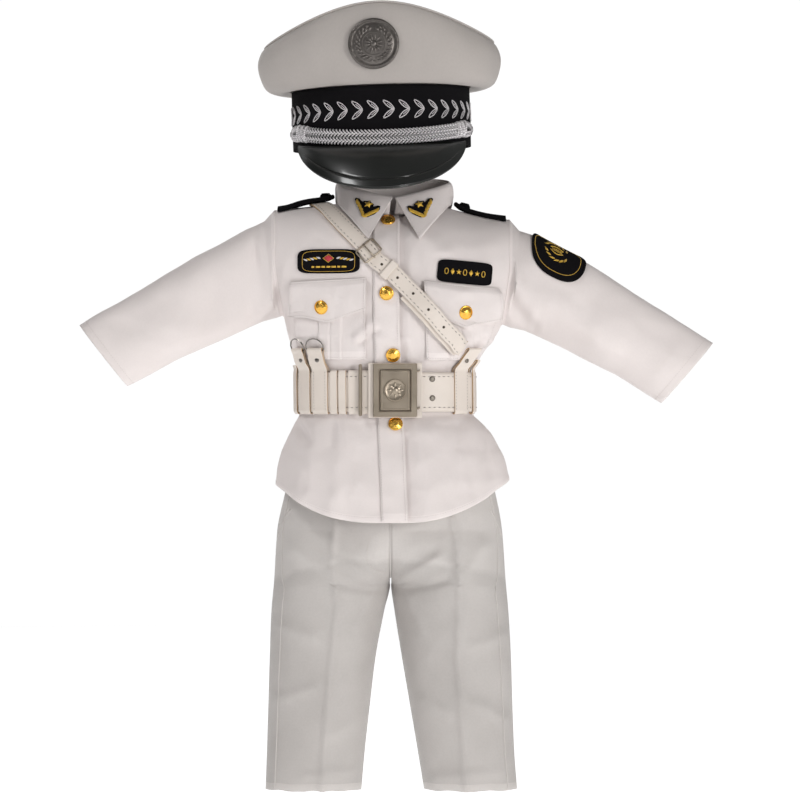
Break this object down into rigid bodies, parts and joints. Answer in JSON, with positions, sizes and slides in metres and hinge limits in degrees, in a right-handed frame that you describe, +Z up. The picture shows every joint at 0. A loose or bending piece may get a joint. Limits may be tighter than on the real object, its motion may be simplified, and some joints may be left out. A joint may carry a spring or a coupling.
{
  "type": "marching band uniform",
  "caption": "Child's white marching band uniform, filled out as worn: peaked cap, belted jacket with cross strap and patch pockets, and trousers.",
  "frame": {"origin": "between the wearer's shoulders, at the height of the shoulder seams beside the neck", "axes": "+X towards the wearer's left, +Y towards the wearer's back, +Z up"},
  "size_m": [0.673, 0.274, 0.8287],
  "materials": {
    "jacket_cloth": "plain woven, matt",
    "trouser_cloth": "satin weave, soft sheen",
    "cap_cloth": "plain woven, matt",
    "black_cloth": "felt and ribbed band",
    "leather": "cream, smooth grain",
    "visor": "patent gloss",
    "black_button": "cloth covered",
    "gilt_metal": "polished gilt",
    "pewter": "satin grey metal",
    "nickel": "satin, warm nickel",
    "dark_wire": "blackened wire",
    "silver_cord": "metallic thread"
  },
  "bodies": {
    "uniform": {"belt": "leather", "belt_end": "leather", "belt_keeper_1": "leather", "belt_keeper_2": "leather", "buckle_back": "nickel", "buckle_boss": "nickel", "buckle_bracket": "nickel", "buckle_frame": "nickel", "buckle_panel": "nickel", "button_1": "gilt_metal", "button_2": "gilt_metal", "button_3": "gilt_metal", "button_4": "gilt_metal", "cap_badge": "pewter", "cap_band": "black_cloth", "cap_button_left": "pewter", "cap_button_right": "pewter", "cap_cord": "silver_cord", "cap_crown_side": "cap_cloth", "cap_crown_top": "cap_cloth", "cap_visor": "visor", "collar": "jacket_cloth", "collar_stand": "jacket_cloth", "collar_tab_left": "black_cloth", "collar_tab_right": "black_cloth", "epaulette_button_left": "black_button", "epaulette_button_right": "black_button", "epaulette_left": "black_cloth", "epaulette_right": "black_cloth", "flap_button_left": "gilt_metal", "flap_button_right": "gilt_metal", "flap_left": "jacket_cloth", "flap_right": "jacket_cloth", "hanger_1": "leather", "hanger_2": "leather", "jacket_back": "jacket_cloth", "jacket_front_left": "jacket_cloth", "jacket_front_right": "jacket_cloth", "name_patch": "black_cloth", "placket": "jacket_cloth", "pocket_left": "jacket_cloth", "pocket_right": "jacket_cloth", "rank_patch": "black_cloth", "side_hanger": "leather", "sleeve_left": "jacket_cloth", "sleeve_patch": "black_cloth", "sleeve_right": "jacket_cloth", "strap_back": "leather", "strap_buckle": "nickel", "strap_front": "leather", "strap_hanger": "leather", "strap_keeper": "leather", "strap_under": "leather", "trouser_back_left": "trouser_cloth", "trouser_back_right": "trouser_cloth", "trouser_front_left": "trouser_cloth", "trouser_front_right": "trouser_cloth", "waistband": "trouser_cloth"},
    "ring_one": {"ring_1": "dark_wire"},
    "ring_two": {"ring_2": "dark_wire"}
  },
  "joints": [
    {"name": "ring_one_turn", "type": "hinge", "parent": "uniform", "child": "ring_one", "pos_m": [-0.09675, -0.04248, -0.1505], "axis": [0.5931, -0.8051, 0], "range_deg": [0, 100]},
    {"name": "ring_two_turn", "type": "hinge", "parent": "uniform", "child": "ring_two", "pos_m": [-0.07853, -0.05965, -0.1505], "axis": [0.831, -0.5563, 0], "range_deg": [0, 100]}
  ]
}
